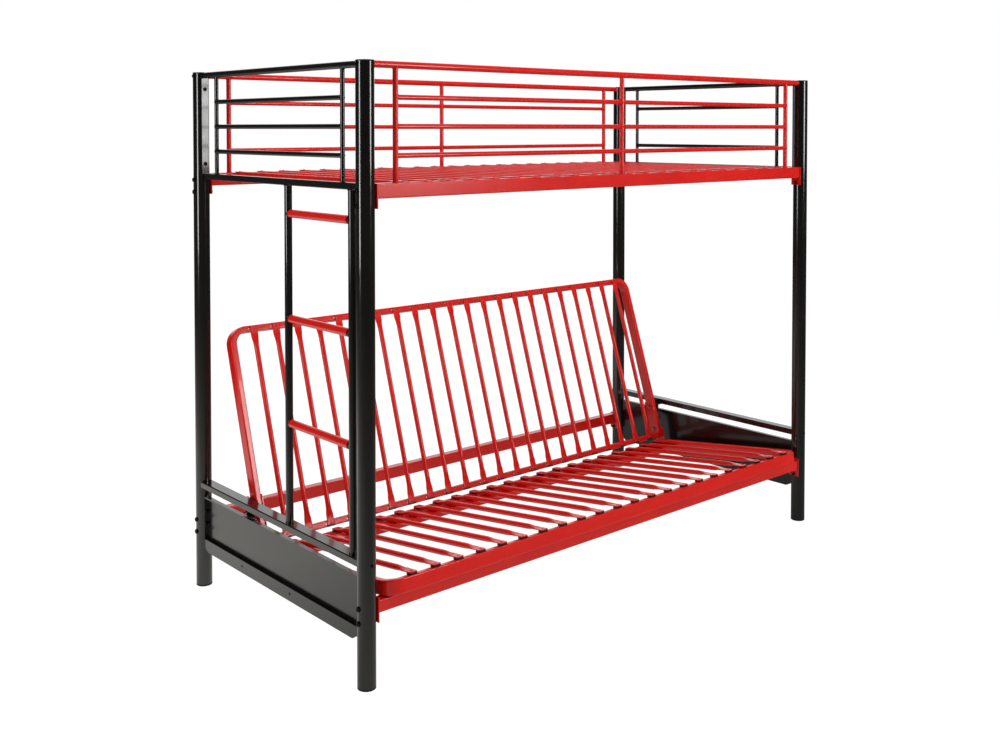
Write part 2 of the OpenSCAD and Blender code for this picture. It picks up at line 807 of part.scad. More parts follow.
// Pins that carry the seat's slotted plates
module back_link_pins() {
    head_x = back_half - frame_w - bracket_t;
    color(zinc) on_back() both_ends() translate([head_x, hinge_n, -link_s]) rotate([0, 0, 180])
        fastener(bolt_head_d, bolt_head_h, hinge_bolt_d, seat_half + link_t + pin_end - head_x);
}

// Plate beside the seat that carries the hinge bolt, with a bridge to the end rail
module hinge_arm(i) {
    rail_x = hx - end_rail_w / 2;
    color(black) place() scale_x(i) difference() {
        union() {
            intersection() {
                translate([arm_x, hinge_by, hinge_z]) rod_x(0, arm_t, 2 * arm_round);
                translate([0, 0, arm_high - 2 * arm_round]) cube([hx, span_y, 2 * arm_round]);
            }
            translate([arm_x, hinge_by, hinge_z - arm_drop]) cube([arm_t, arm_len, arm_drop]);
            translate([arm_x, hinge_by - arm_round, hinge_z])
                cube([arm_t, arm_round + arm_len, arm_high - hinge_z]);
            translate([arm_x, hinge_by - arm_round, arm_high - arm_t])
                cube([rail_x - arm_x, arm_round + arm_len, arm_t]);
        }
        translate([arm_x, hinge_by, hinge_z])
            rod_x(-overrun, arm_t + overrun, hinge_bolt_d + 2 * weld_gap);
        translate([arm_x, hinge_by + arm_stud_y, hinge_z - arm_stud_z])
            rod_x(-overrun, arm_t + overrun, stud_d + 2 * weld_gap);
    }
}
module left_hinge_arm() { hinge_arm(-1); }
module right_hinge_arm() { hinge_arm(1); }

// Hinge bolts through the arms and the back's side tubes
module hinge_bolts() {
    head_x = back_half - frame_w - bracket_t - run_gap;
    color(zinc) place() both_ends() translate([head_x, hinge_by, hinge_z]) rotate([0, 0, 180])
        fastener(bolt_head_d, bolt_head_h, hinge_bolt_d, arm_x + arm_t + nut_h - head_x);
}
module hinge_nuts() {
    color(zinc) place() both_ends() translate([arm_x + arm_t, hinge_by, hinge_z]) difference() {
        rotate([0, 90, 0]) cylinder(h = nut_h, d = nut_d + 2 * tube_wall, $fn = 6);
        rod_x(-overrun, nut_h + overrun, hinge_bolt_d + 2 * weld_gap);
    }
}

// Studs that hold the springs: on the arms, and on the sides of the back
stud_y = hinge_by - stud_r * sin(stud_swing);
stud_z = hinge_z - stud_r * cos(stud_swing);
module arm_spring_studs() {
    color(zinc) place() both_ends() translate([0, hinge_by + arm_stud_y, hinge_z - arm_stud_z])
        rod_x(arm_x, arm_x + arm_t + stud_len, stud_d);
}
module back_spring_studs() {
    color(zinc) place() both_ends() translate([0, stud_y, stud_z])
        rod_x(back_half, arm_x + arm_t + stud_len, stud_d);
}

// Spring from stud to stud: its coil swells from the straight ends by a formula
spring_from = [hinge_by + arm_stud_y, hinge_z - arm_stud_z];
spring_to = [stud_y, stud_z];
spring_span = norm(spring_to - spring_from);
spring_end_gap = stud_d / 2 + run_gap;
coil_len = spring_span - 2 * (spring_end_gap + spring_lead);
coil_r = (spring_d - spring_wire) / 2;
ring_steps = 8;
coil_steps = ring_steps * spring_turns;
function ease(t) = t < 0 ? 0 : t > 1 ? 1 : t * t * (3 - 2 * t);

// The coil drawn along +Z, one point for each step and one at each straight end
function coil_point(k) =
    let (
        t = min(max(k / coil_steps, 0), 1),
        swell = coil_r * ease(min(k, coil_steps - k) / ring_steps),
        lead = k < 0 ? 0 : k > coil_steps ? 2 * spring_lead : spring_lead
    )
    [swell * cos(360 * spring_turns * t), swell * sin(360 * spring_turns * t),
        spring_end_gap + lead + coil_len * t];
coil_path = [for (k = [-1 : coil_steps + 1]) coil_point(k)];
coil_gap = min([for (a = [0 : coil_steps], b = [a + ring_steps / 2 : coil_steps + 2])
    if (b < len(coil_path)) norm(coil_path[b] - coil_path[a])]) - spring_wire;
echo(least_gap_of_the_spring_to_itself = coil_gap);

module spring(i) {
    slope = atan2(spring_to[0] - spring_from[0], spring_to[1] - spring_from[1]);
    color(black) place() scale_x(i) translate([spring_x, spring_from[0], spring_from[1]])
        rotate([-slope, 0, 0]) wire(coil_path, spring_wire, 6);
}

// Tube of a few sides along a path, each ring square to the path
module wire(path, d, sides) {
    last = len(path) - 1;
    points = [for (k = [0 : last])
        let (
            ahead = path[min(k + 1, last)] - path[max(k - 1, 0)],
            t = ahead / norm(ahead),
            a = 360 * spring_turns * min(max((k - 1) / coil_steps, 0), 1),
            n0 = [cos(a), sin(a), 0] - t * (t * [cos(a), sin(a), 0]),
            n = n0 / norm(n0),
            b = cross(t, n)
        )
        for (j = [0 : sides - 1])
            path[k] + (n * cos(360 * j / sides) + b * sin(360 * j / sides)) * d / 2
    ];
    faces = concat(
        [for (j = [1 : sides - 2]) [0, j, j + 1]],
        [for (k = [0 : last - 1], j = [0 : sides - 1])
            [k * sides + j, (k + 1) * sides + j, (k + 1) * sides + (j + 1) % sides]],
        [for (k = [0 : last - 1], j = [0 : sides - 1])
            [k * sides + j, (k + 1) * sides + (j + 1) % sides, k * sides + (j + 1) % sides]],
        [for (j = [1 : sides - 2]) [last * sides, last * sides + j + 1, last * sides + j]]
    );
    polyhedron(points, faces);
}
module left_spring() { spring(-1); }
module right_spring() { spring(1); }

front_left_post();
front_right_post();
rear_left_post();
rear_right_post();
post_caps();
post_feet();
left_guard();
right_guard();
front_guard();
rear_guard();
guard_bolts();
guard_screws();
front_deck_rail();
rear_deck_rail();
deck_slats();
deck_bolts();
deck_nuts();
front_beam();
rear_beam();
beam_bolts();
beam_nuts();
left_end_rail();
right_end_rail();
end_rail_screws();
left_end_panel();
right_end_panel();
panel_screws();
ladder_front_stile();
ladder_rear_stile();
top_rung();
middle_rung();
bottom_rung();
rung_sleeves();
seat_front_tube();
seat_left_tube();
seat_right_tube();
seat_rear_rail();
seat_slats();
seat_slat_clips();
seat_left_link();
seat_right_link();
back_top_tube();
back_left_tube();
back_right_tube();
back_bottom_tube();
back_slats();
back_slat_clips();
back_left_bracket();
back_right_bracket();
back_link_pins();
back_slat_screws();
left_hinge_arm();
right_hinge_arm();
hinge_bolts();
hinge_nuts();
arm_spring_studs();
back_spring_studs();
left_spring();
right_spring();
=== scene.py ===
"""Looks of the loft bed: powder-coated steel tube, moulded black plastic and small fixings.

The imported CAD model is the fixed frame. Pieces whose real form is finer than their CAD solid
(slats, fixings, springs, clips, caps, feet and welds) are worked out here as surfaces.
"""

import json

import bpy
import numpy as np
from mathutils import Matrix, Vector


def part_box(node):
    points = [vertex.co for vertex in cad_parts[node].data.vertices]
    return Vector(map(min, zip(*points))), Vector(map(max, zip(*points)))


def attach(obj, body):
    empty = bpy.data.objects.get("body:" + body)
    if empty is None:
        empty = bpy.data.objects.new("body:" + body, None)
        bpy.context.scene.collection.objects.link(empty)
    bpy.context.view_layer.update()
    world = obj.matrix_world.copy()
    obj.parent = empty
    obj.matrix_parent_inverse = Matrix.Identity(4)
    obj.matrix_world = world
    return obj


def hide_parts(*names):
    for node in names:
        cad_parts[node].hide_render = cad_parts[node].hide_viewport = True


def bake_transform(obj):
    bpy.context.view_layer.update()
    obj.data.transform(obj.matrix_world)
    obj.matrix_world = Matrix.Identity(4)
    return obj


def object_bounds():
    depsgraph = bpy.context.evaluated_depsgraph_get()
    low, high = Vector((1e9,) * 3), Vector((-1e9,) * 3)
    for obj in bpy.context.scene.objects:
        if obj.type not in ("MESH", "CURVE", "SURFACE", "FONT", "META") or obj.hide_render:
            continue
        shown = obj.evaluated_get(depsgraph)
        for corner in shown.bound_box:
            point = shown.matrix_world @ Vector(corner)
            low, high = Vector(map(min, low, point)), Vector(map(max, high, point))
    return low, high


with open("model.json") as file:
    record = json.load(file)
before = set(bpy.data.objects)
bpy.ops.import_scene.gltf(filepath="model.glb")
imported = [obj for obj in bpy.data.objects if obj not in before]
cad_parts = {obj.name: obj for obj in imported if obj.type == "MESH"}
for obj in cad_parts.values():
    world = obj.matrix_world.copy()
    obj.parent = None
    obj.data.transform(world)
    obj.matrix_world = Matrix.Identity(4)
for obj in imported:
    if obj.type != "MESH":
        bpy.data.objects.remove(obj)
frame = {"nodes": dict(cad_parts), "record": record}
cad_low, cad_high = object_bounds()
MM = 0.001
X_AXIS, Y_AXIS, Z_AXIS = np.eye(3)


# Places taken from the frame

def corners(node):
    """The lowest and the highest corner of a CAD node, as arrays."""
    low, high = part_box(node)
    return np.array(low), np.array(high)


def middle(node):
    """The middle of a CAD node's box."""
    low, high = corners(node)
    return (low + high) / 2


POSTS = {
    (i, j): middle(f"{long_side}_{end}_post")
    for i, end in ((-1, "left"), (1, "right"))
    for j, long_side in ((-1, "front"), (1, "rear"))
}
POST_R = 25 * MM
POST_TOP = cad_high[2]
DECK_TOP = corners("front_deck_rail")[1][2]
DECK_SPAN = POSTS[-1, 1][1] - POSTS[-1, -1][1]
joints = frame["record"]["behaviour"]["joints"]
joint_places = {joint["name"]: np.array(joint["pos_m"]) for joint in joints}
HINGE = joint_places["backrest_fold"]


class Plane:
    """A plane that carries slats: x along the bed, v along the slats, n out of the plane's front."""

    def __init__(self, origin, along, outward):
        self.origin = np.array(origin, float)
        self.along = np.array(along, float)
        self.outward = np.array(outward, float)

    def lay(self, points):
        """Turns rows of x, v and n to places in the frame."""
        points = np.asarray(points, float)
        x, v, n = points[..., :1], points[..., 1:2], points[..., 2:]
        return self.origin + x * X_AXIS + v * self.along + n * self.outward


# The bench at rest: the seat's front top edge, both tilts, and the back's tail below the hinge
SEAT_FRONT = (0, -483.79 * MM, 275.02 * MM)
SEAT_TILT = np.radians(7.8)
SEAT_LEN = 638 * MM
BACK_LEAN = np.radians(17.9)
BACK_LEN = 668 * MM
BACK_TAIL = 127 * MM
BACK_HALF_DEPTH = 19 * MM
seat_along = np.array([0, np.cos(SEAT_TILT), -np.sin(SEAT_TILT)])
seat_outward = np.array([0, np.sin(SEAT_TILT), np.cos(SEAT_TILT)])
back_along = np.array([0, np.sin(BACK_LEAN), np.cos(BACK_LEAN)])
back_outward = np.array([0, -np.cos(BACK_LEAN), np.sin(BACK_LEAN)])
DECK = Plane((0, POSTS[-1, -1][1], DECK_TOP), Y_AXIS, Z_AXIS)
SEAT = Plane(SEAT_FRONT, seat_along, seat_outward)
BACK = Plane(HINGE - BACK_TAIL * back_along + BACK_HALF_DEPTH * back_outward, back_along, back_outward)

# Slats: steel tubes pressed at both ends to flat tongues; the seat's tongues lie on clips
SLAT_COUNT = 22
SLAT_R = 8 * MM
TONGUE_HALF_W = 13 * MM
TONGUE_HALF_T = 1.5 * MM
CLIP_T = 6 * MM
SLAT_INSET = 1.5 * MM
SLAT_REAR_INSET = 5.5 * MM
slats_low, slats_high = corners("deck_slats")
SLAT_XS = np.linspace(slats_low[0] + TONGUE_HALF_W, slats_high[0] - TONGUE_HALF_W, SLAT_COUNT)

# Rise of the tubes' middle lines over their tongues' undersides. On its clips, that leaves a
# small gap between the seat's tubes and the plane of its rails.
RAIL_GAP = 0.3 * MM
BENCH_RISE = SLAT_R - CLIP_T + RAIL_GAP
DECK_RISE = -5 * MM

# Name, plane, both ends of the slats on it, lift of the tongues, rise of the tubes, body
SLAT_SETS = (
    ("deck", DECK, (0, DECK_SPAN), 0, DECK_RISE, "frame"),
    ("seat", SEAT, (SLAT_INSET, SEAT_LEN - SLAT_REAR_INSET), CLIP_T, BENCH_RISE, "seat"),
    ("back", BACK, (SLAT_INSET, BACK_LEN - SLAT_INSET), 0, BENCH_RISE, "backrest"),
)


# Materials

def linear(hex_colour):
    """Turns an sRGB hex colour to the linear values that a shader takes."""
    parts = np.array([int(hex_colour[i:i + 2], 16) for i in (1, 3, 5)]) / 255
    flat = np.where(parts <= 0.04045, parts / 12.92, ((parts + 0.055) / 1.055) ** 2.4)
    return (*flat.tolist(), 1.0)


def add_node(tree, kind, values=None, links=None, stops=(), **settings):
    """Adds one node with its settings, its sockets' values and links, and a colour ramp's stops."""
    made = tree.nodes.new(kind)
    for name, value in settings.items():
        setattr(made, name, value)
    for socket, value in (values or {}).items():
        made.inputs[socket].default_value = value
    for socket, source in (links or {}).items():
        tree.links.new(source, made.inputs[socket])
    if stops:
        elements = made.color_ramp.elements
        elements.remove(elements[-1])
        elements[0].position, elements[0].color = stops[0]
        for place, colour in stops[1:]:
            elements.new(place).color = colour
    return made


def new_material(name):
    """Starts an empty node material and gives it back with its tree."""
    material = bpy.data.materials.new(name)
    material.use_nodes = True
    material.node_tree.nodes.clear()
    return material, material.node_tree


def finish_surface(tree, values, tone, rough, bump):
    """Ends a material in one Principled shader, from its values and its three patterns' nodes."""
    links = {"Base Color": tone.outputs["Color"], "Roughness": rough.outputs["Result"],
             "Normal": bump.outputs["Normal"]}
    shader = add_node(tree, "ShaderNodeBsdfPrincipled", values, links)
    add_node(tree, "ShaderNodeOutputMaterial", links={"Surface": shader.outputs["BSDF"]})


def powder_coat(name, body, thin, roughness, specular):
    """Polyester powder coat, sprayed on steel tube and baked.

    It levels to a gloss with a faint orange peel a few millimetres across, drawn a little
    coarser than real so that it shows, and the tone drifts where the coat is thinner.
    """
    drift_size, haze_size, peel_size, peel_depth = 180 * MM, 28 * MM, 6 * MM, 0.2 * MM
    material, tree = new_material(name)
    place = {"Vector": add_node(tree, "ShaderNodeTexCoord").outputs["Object"]}
    drift = add_node(tree, "ShaderNodeTexNoise", {"Scale": 1 / drift_size, "Detail": 3.0}, place)
    haze = add_node(tree, "ShaderNodeTexNoise", {"Scale": 1 / haze_size, "Detail": 4.0}, place)
    peel = add_node(tree, "ShaderNodeTexNoise", {"Scale": 1 / peel_size, "Detail": 1.0}, place)
    tone = add_node(tree, "ShaderNodeValToRGB", links={"Fac": drift.outputs["Fac"]},
                    stops=((0.3, linear(body)), (0.7, linear(thin))))
    rough = add_node(tree, "ShaderNodeMapRange", {"To Min": roughness - 0.04, "To Max": roughness + 0.08},
                     {"Value": haze.outputs["Fac"]})
    bump = add_node(tree, "ShaderNodeBump", {"Strength": 0.04, "Distance": peel_depth},
                    {"Height": peel.outputs["Fac"]})
    gloss = {"IOR": 1.5, "Specular IOR Level": specular, "Coat Weight": 0.3, "Coat Roughness": 0.04}
    finish_surface(tree, gloss, tone, rough, bump)
    return material


def moulded_plastic(name, body, pale):
    """Black polypropylene from a sparked mould: a matt grain and slightly greyer high spots.

    The grain, a few hundredths of a millimetre on the real part, is drawn coarse enough to show.
    """
    grain_size, cloud_size, grain_depth = 1.2 * MM, 15 * MM, 0.1 * MM
    material, tree = new_material(name)
    place = {"Vector": add_node(tree, "ShaderNodeTexCoord").outputs["Object"]}
    grain = add_node(tree, "ShaderNodeTexVoronoi", {"Scale": 1 / grain_size}, place)
    cloud = add_node(tree, "ShaderNodeTexNoise", {"Scale": 1 / cloud_size, "Detail": 3.0}, place)
    tone = add_node(tree, "ShaderNodeValToRGB", links={"Fac": cloud.outputs["Fac"]},
                    stops=((0.35, linear(body)), (0.7, linear(pale))))
    rough = add_node(tree, "ShaderNodeMapRange", {"To Min": 0.38, "To Max": 0.55},
                     {"Value": cloud.outputs["Fac"]})
    bump = add_node(tree, "ShaderNodeBump", {"Strength": 0.2, "Distance": grain_depth},
                    {"Height": grain.outputs["Distance"]})
    finish_surface(tree, {"IOR": 1.49}, tone, rough, bump)
    return material


def plated_steel(name, bright, dull, roughness):
    """Zinc-plated or oiled steel: a spangled film, cloudy where it was handled.

    The film's crystals are far finer than the 2.5 mm at which they are drawn, so that they show.
    """
    cloud_size, spangle_size, spangle_depth = 5 * MM, 2.5 * MM, 0.05 * MM
    material, tree = new_material(name)
    place = {"Vector": add_node(tree, "ShaderNodeTexCoord").outputs["Object"]}
    cloud = add_node(tree, "ShaderNodeTexNoise", {"Scale": 1 / cloud_size, "Detail": 4.0}, place)
    spangle = add_node(tree, "ShaderNodeTexVoronoi", {"Scale": 1 / spangle_size}, place)
    tone = add_node(tree, "ShaderNodeValToRGB", links={"Fac": cloud.outputs["Fac"]},
                    stops=((0.35, linear(dull)), (0.65, linear(bright))))
    rough = add_node(tree, "ShaderNodeMapRange", {"To Min": roughness, "To Max": roughness + 0.15},
                     {"Value": spangle.outputs["Distance"]})
    bump = add_node(tree, "ShaderNodeBump", {"Strength": 0.1, "Distance": spangle_depth},
                    {"Height": spangle.outputs["Distance"]})
    finish_surface(tree, {"Metallic": 1.0}, tone, rough, bump)
    return material


# The coat lies a little duller on the wide pressed sheet of the end panels than on tube
RED_COAT = powder_coat("red_powder_coat", "#C0130C", "#CC1911", 0.2, 0.38)
BLACK_COAT = powder_coat("black_powder_coat", "#0B0A09", "#12100F", 0.13, 0.6)
PANEL_COAT = powder_coat("black_powder_coat_on_sheet", "#0B0A09", "#12100F", 0.22, 0.58)
PLASTIC = moulded_plastic("black_polypropylene", "#0C0C0C", "#191817")
ZINC = plated_steel("zinc_plated_steel", "#B9B6AF", "#8E8B86", 0.28)
BLACK_ZINC = plated_steel("black_zinc_plated_steel", "#35322F", "#1A1817", 0.3)
SPRING_WIRE = plated_steel("oiled_spring_wire", "#2C2A28", "#171615", 0.3)

FINISH = {
    "red_steel": RED_COAT,
    "black_steel": BLACK_COAT,
    "black_plastic": PLASTIC,
    "zinc_steel": ZINC,
    "spring_steel": SPRING_WIRE,
}
slot_of = {part["node"]: part["material_slot"] for part in frame["record"]["subparts"]}
for node_name, cad_object in frame["nodes"].items():
    for holder in cad_object.material_slots:
        holder.link = "OBJECT"
        holder.material = PANEL_COAT if node_name.endswith("end_panel") else FINISH[slot_of[node_name]]


# Surfaces

def skin(rings):
    """Quads over a stack of rings, each closed on itself, and a fan of triangles over both ends.

    Each fan runs to the middle of its end ring's points.
    """
    rings = np.asarray(rings, float)
    count, around = rings.shape[:2]
    row = np.arange(around)
    after = (row + 1) % around
    lower = (np.arange(count - 1) * around)[:, None]
    quads = np.stack([lower + row, lower + after, lower + around + after, lower + around + row], axis=-1)
    points = np.concatenate([rings.reshape(-1, 3), rings[:1].mean(axis=1), rings[-1:].mean(axis=1)])
    first, last = count * around, count * around + 1
    top = (count - 1) * around
    caps = [(after, row, first), (top + row, top + after, last)]
    fans = [np.stack([a, b, np.full(around, c)], axis=-1) for a, b, c in caps]
    return points, [quads.reshape(-1, 4), *fans]


def prism(rings):
    """Quads over a stack of rings, with each end closed by one face of all its points."""
    points, groups = skin(rings)
    count, around = rings.shape[:2]
    ends = np.arange(around)[None, ::-1], (np.arange(around) + (count - 1) * around)[None, :]
    return points[:-2], [groups[0], *ends]


def loop_skin(rings):
    """Quads over rings that join up end to end, as on a bead round a joint."""
    rings = np.asarray(rings, float)
    count, around = rings.shape[:2]
    index = np.arange(count * around).reshape(count, around)
    ahead, side = np.roll(index, -1, axis=0), np.roll(index, -1, axis=1)
    quads = np.stack([index, side, np.roll(ahead, -1, axis=1), ahead], axis=-1)
    return rings.reshape(-1, 3), [quads.reshape(-1, 4)]


def signed_volume(points, groups):
    """Volume inside a closed surface, negative where its faces look inwards."""
    total = 0.0
    for faces in groups:
        for k in range(1, faces.shape[1] - 1):
            a, b, c = points[faces[:, 0]], points[faces[:, k]], points[faces[:, k + 1]]
            total += np.einsum("ij,ij->", a, np.cross(b, c))
    return total


def make_piece(name, shells, material, body, replaced=(), sharp=35):
    """Joins closed shells to one object, which stands for CAD nodes and rides on a body, where given.

    Each shell with a negative volume is turned inside out. Edges that bend by more degrees than
    sharp stay crisp, and the rest are shaded smooth.
    """
    points, faces, start = [], [], 0
    for shell_points, groups in shells:
        centred = shell_points - shell_points.mean(axis=0)
        turned = signed_volume(centred, groups) < 0
        for group in groups:
            faces += ((group[:, ::-1] if turned else group) + start).tolist()
        points.append(shell_points)
        start += len(shell_points)
    mesh = bpy.data.meshes.new(name)
    mesh.from_pydata(np.concatenate(points).tolist(), [], faces)
    mesh.polygons.foreach_set("use_smooth", np.ones(len(mesh.polygons), bool))
    mesh.set_sharp_from_angle(angle=np.radians(sharp))
    mesh.materials.append(material)
    mesh.update()
    piece = bpy.data.objects.new(name, mesh)
    bpy.context.scene.collection.objects.link(piece)
    if body:
        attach(piece, body)
    if replaced:
        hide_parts(*replaced)
    return piece


def ease(share):
    """Rises smoothly from 0 to 1: three times the square less twice the cube."""
    share = np.clip(share, 0, 1)
    return share * share * (3 - 2 * share)


def steps_round(count):
    """Angles of a number of equal steps round a circle."""
    return np.arange(count) * 2 * np.pi / count


def basis(axis):
    """Two directions square to an axis and to each other."""
    axis = np.array(axis, float)
    helper = Z_AXIS if abs(axis[2]) < 0.9 else X_AXIS
    first = np.cross(helper, axis)
    first /= np.linalg.norm(first)
    return first, np.cross(axis, first)


def spun(centre, axis, radii, heights, around=24, hexagons=()):
    """Rings of a turned form: circles about an axis, each of its radius and at its height.

    A ring named as a hexagon has its radius times the cosine of 30 degrees, over the cosine of
    the angle from the middle of the flat, so that it is six-sided.
    """
    first, second = basis(axis)
    angle = steps_round(around)
    from_flat = angle % (np.pi / 3) - np.pi / 6
    radii = np.array(radii, float)[:, None] * np.ones(around)
    radii[list(hexagons)] *= np.cos(np.pi / 6) / np.cos(from_flat)
    sweep = np.cos(angle)[:, None] * first + np.sin(angle)[:, None] * second
    lift = np.array(heights, float)[:, None, None] * np.array(axis, float)
    return np.array(centre) + radii[..., None] * sweep + lift


# Slats

def slat_rings(x, length, rise, around=28):
    """A round steel tube pressed flat at both ends.

    Over the pressed stretch the section's half width and half height are eased between the
    tongue's and the tube's radius, and its outline goes from a near rectangle to a circle as a
    superellipse whose power falls from 6 to 2. The middle line climbs from the tongue's middle to
    the tube's by the same ease. The tongue's corners are rounded over their last 3 mm.
    """
    pressed, eased, corner = 24 * MM, 52 * MM, 3 * MM
    tongue_steps = np.array([0, 0.5, 1.5, 3, 12, 24]) * MM
    near = np.concatenate([tongue_steps, pressed + eased * np.linspace(0.08, 1, 14)])
    plain = np.linspace(near[-1], length - near[-1], 6)[1:-1]
    along = np.concatenate([near, plain, (length - near)[::-1]])
    from_end = np.minimum(along, length - along)
    share = ease((from_end - pressed) / eased)[:, None]
    drawn = corner - np.sqrt(corner ** 2 - np.clip(corner - from_end, 0, corner) ** 2)
    half_w = TONGUE_HALF_W + (SLAT_R - TONGUE_HALF_W) * share - drawn[:, None]
    half_h = TONGUE_HALF_T + (SLAT_R - TONGUE_HALF_T) * share
    power = 2 / (6 - 4 * ease(2 * share))
    angle = steps_round(around)
    c, s = np.cos(angle), np.sin(angle)
    across = x + half_w * np.sign(c) * np.abs(c) ** power
    middle_n = TONGUE_HALF_T + (rise - TONGUE_HALF_T) * share
    high = middle_n + half_h * np.sign(s) * np.abs(s) ** power
    return np.stack([across, np.broadcast_to(along[:, None], across.shape), high], axis=-1)


def make_slats():
    """The three sets of slats, each laid on its plane."""
    for name, plane, (start, end), lift, rise, body in SLAT_SETS:
        place = np.array([0, start, lift])
        shells = [skin(plane.lay(slat_rings(x, end - start, rise) + place)) for x in SLAT_XS]
        make_piece(f"{name}_slat_tubes", shells, RED_COAT, body, (f"{name}_slats",))


make_slats()


# Moulded clips of the slats

def clip_rings(x, width, outline, chamfer=0.4 * MM, shrink=0.94):
    """A moulded clip: one outline drawn along X, its end rings shrunk about their middle to a chamfer."""
    centre = outline.mean(axis=0)
    inset = centre + (outline - centre) * shrink
    half = width / 2
    stations = x + np.array([-half, chamfer - half, half - chamfer, half])
    sections = np.stack([inset, outline, outline, inset])
    across = np.broadcast_to(stations[:, None, None], (*sections.shape[:2], 1))
    return np.concatenate([across, sections], axis=-1)


def pad_outline(thick, depth=17 * MM, foot=0.6 * MM, shoulder=1 * MM):
    """Outline of a flat pad under a tongue, as v from the slat's end and n, with its edges broken."""
    return np.array([
        (foot, 0), (0, foot), (0, thick - shoulder), (shoulder, thick),
        (depth - shoulder, thick), (depth, thick - shoulder), (depth, foot), (depth - foot, 0),
    ])


def hook_outline(lip=3.1 * MM, over=6 * MM, wall=1.2 * MM, depth=17 * MM, film=0.01 * MM):
    """Outline of a clip that wraps a tongue's end: a thin film under it, a wall, and a lip over it."""
    return np.array([
        (0, 0), (0, lip), (wall / 2, lip + wall), (over, lip + wall), (over, lip),
        (wall, lip), (wall, film), (depth, film), (depth, 0),
    ])


def make_clips(name, plane, ends, outline, width, body, node):
    """Clips at the tongues of one set of slats; each end is a place on the plane and the way in from it."""
    shells = []
    for x in SLAT_XS:
        for start, way in ends:
            placed = outline * (way, 1) + (start, 0)
            shells.append(prism(plane.lay(clip_rings(x, width, placed))))
    make_piece(name, shells, PLASTIC, body, (node,), sharp=25)


SEAT_CLIP_ENDS = ((SLAT_INSET, 1), (SEAT_LEN - SLAT_REAR_INSET, -1))
BACK_CLIP_ENDS = ((0.2 * MM, 1),)
make_clips("seat_tongue_clips", SEAT, SEAT_CLIP_ENDS, pad_outline(CLIP_T), 24 * MM, "seat", "seat_slat_clips")
make_clips("back_tongue_clips", BACK, BACK_CLIP_ENDS, hook_outline(), 27 * MM, "backrest", "back_slat_clips")


# Fixings

def socket_head(centre, axis, width, height, shank_d, shank):
    """Low round screw head with a hexagon socket, and its shank.

    The turned rings run from the shank's end, out under the head, over its rounded dome to the
    socket's rim and down the six-sided socket to its floor, as shares of the head's radius and
    height and of the shank's radius.
    """
    r, s = width / 2, shank_d / 2
    radii = [s * 0.8, s, s, r * 0.97, r, r, r * 0.94, r * 0.8, r * 0.62, r * 0.45, r * 0.42, r * 0.4]
    heights = [-shank, -shank + s * 0.2, 0, 0, 0.08 * height, 0.3 * height, 0.62 * height, 0.88 * height,
               height, height, 0.94 * height, 0.35 * height]
    return skin(spun(centre, axis, radii, heights, hexagons=(9, 10, 11)))


def rivet_head(centre, axis, width, height):
    """A small domed rivet head: a spherical cap in four rings on a short skirt."""
    angle = np.linspace(0.15, 1, 5) * np.pi / 2
    radii = [width / 2, *(width / 2 * np.cos(angle[:-1] - angle[0])), width * 0.08]
    heights = [-0.3 * height, *(height * np.sin(angle[:-1] - angle[0])), height]
    return skin(spun(centre, axis, radii, heights, around=12))


def heights_of(node, rows, size):
    """Centre heights of a node's fixings, from its box, where heads of a size stand in level rows."""
    low, high = corners(node)
    return np.linspace(low[2] + size / 2, high[2] - size / 2, rows)


# Heads as width, height and shank width; a rivet's shank isn't seen
BOLT = (15 * MM, 5 * MM, 8 * MM)
SCREW = (12 * MM, 3.5 * MM, 6 * MM)
END_RAIL_SCREW = (9 * MM, 3.5 * MM, 6 * MM)
RIVET = (7 * MM, 1.6 * MM)
BOLT_SHANK = 58 * MM
SCREW_SHANK = 14 * MM
RIVET_INSET = 10 * MM

# Inner faces of the end guards' and the end panels' plates from the posts' middles
GUARD_PLATE_FACE = POST_R + 3 * MM
PANEL_PLATE_FACE = 28.5 * MM
PANEL_SCREW_SHIFT = 5 * MM


def make_post_bolts(name, node, size, rows):
    """Bolt heads on the posts' outer sides, with their shanks along the bed."""
    shells = []
    for (i, j), post in POSTS.items():
        for z in heights_of(node, rows, size[0]):
            face = (post[0] + i * POST_R, post[1], z)
            shells.append(socket_head(face, i * X_AXIS, *size, BOLT_SHANK))
    make_piece(name, shells, BLACK_ZINC, "frame", (node,))


def make_cross_screws(name, node, size, rows, side, from_post, shift=0):
    """Screw heads with their shanks across the bed.

    Side is 1 for heads on the posts' outer faces and -1 for heads on plates between the posts.
    From_post is how far the face lies from the post's middle, and shift how far outwards of it
    the screws stand along the bed.
    """
    shells = []
    for (i, j), post in POSTS.items():
        for z in heights_of(node, rows, size[0]):
            face = (post[0] + i * shift, post[1] + j * side * from_post, z)
            shells.append(socket_head(face, j * side * Y_AXIS, *size, SCREW_SHANK))
    make_piece(name, shells, BLACK_ZINC, "frame", (node,))


def make_rivets():
    """Rivets through the tongues into the deck rails and the bench's tubes."""
    for name, plane, (start, end), lift, _, body in SLAT_SETS:
        tongue_top = lift + 2 * TONGUE_HALF_T
        shells = [
            rivet_head(plane.lay([x, v, tongue_top]), plane.outward, *RIVET)
            for x in SLAT_XS
            for v in (start + RIVET_INSET, end - RIVET_INSET)
        ]
        make_piece(f"{name}_rivets", shells, RED_COAT, body)


make_post_bolts("deck_bolt_heads", "deck_bolts", BOLT, 2)
make_post_bolts("beam_bolt_heads", "beam_bolts", BOLT, 2)
make_post_bolts("guard_bolt_heads", "guard_bolts", SCREW, 1)
make_cross_screws("guard_screw_heads", "guard_screws", SCREW, 2, -1, GUARD_PLATE_FACE)
make_cross_screws("end_rail_screw_heads", "end_rail_screws", END_RAIL_SCREW, 1, 1, POST_R)
make_cross_screws("panel_screw_heads", "panel_screws", SCREW, 2, -1, PANEL_PLATE_FACE, PANEL_SCREW_SHIFT)
make_rivets()


